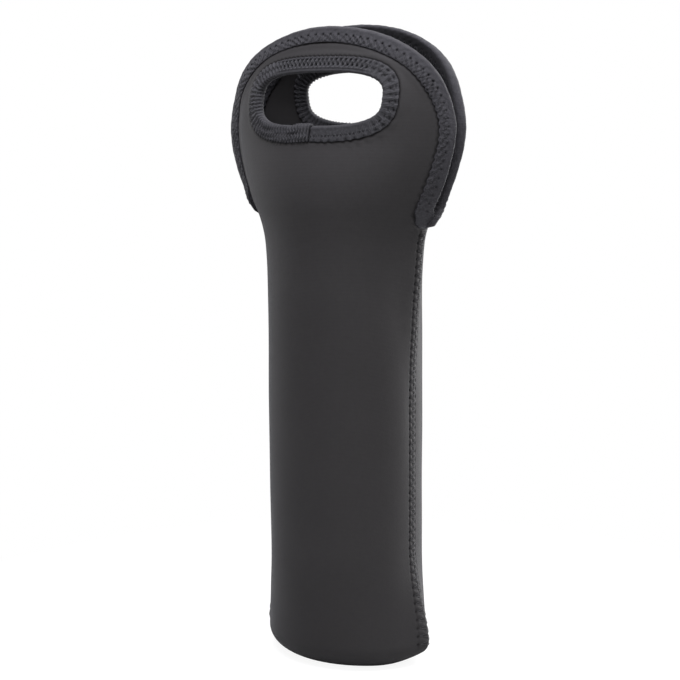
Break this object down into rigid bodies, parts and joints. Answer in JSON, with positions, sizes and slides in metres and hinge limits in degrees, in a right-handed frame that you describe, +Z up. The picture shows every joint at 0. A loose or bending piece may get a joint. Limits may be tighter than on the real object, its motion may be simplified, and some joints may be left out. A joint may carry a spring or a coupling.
{
  "type": "bottle carrier",
  "caption": "Soft neoprene bottle carrier: a tall sewn sleeve with a flat foot, open at the top, whose front and back sheets rise into rounded heads with bound hand holes.",
  "frame": {"origin": "middle of the foot, on the surface that the carrier stands on", "axes": "+Z up along the sleeve, -Y towards the front head, +X to the right"},
  "size_m": [0.1412, 0.0844, 0.3461],
  "materials": {
    "neoprene": "matte knit-faced neoprene",
    "binding_tape": "matte knitted stretch tape"
  },
  "bodies": {
    "sleeve": {"front_panel": "neoprene", "back_panel": "neoprene", "base_panel": "neoprene"},
    "front_head": {"front_handle": "neoprene", "front_edge_binding": "binding_tape", "front_grip_binding": "binding_tape"},
    "back_head": {"back_handle": "neoprene", "back_edge_binding": "binding_tape", "back_grip_binding": "binding_tape"}
  },
  "joints": [
    {"name": "front_head_fold", "type": "hinge", "parent": "sleeve", "child": "front_head", "pos_m": [0, -0.0412, 0.2382], "axis": [1, 0, 0], "range_deg": [0, 30], "stiffness_Nm_per_rad": 0.2},
    {"name": "back_head_fold", "type": "hinge", "parent": "sleeve", "child": "back_head", "pos_m": [0, 0.0412, 0.2382], "axis": [-1, 0, 0], "range_deg": [0, 30], "stiffness_Nm_per_rad": 0.2}
  ]
}
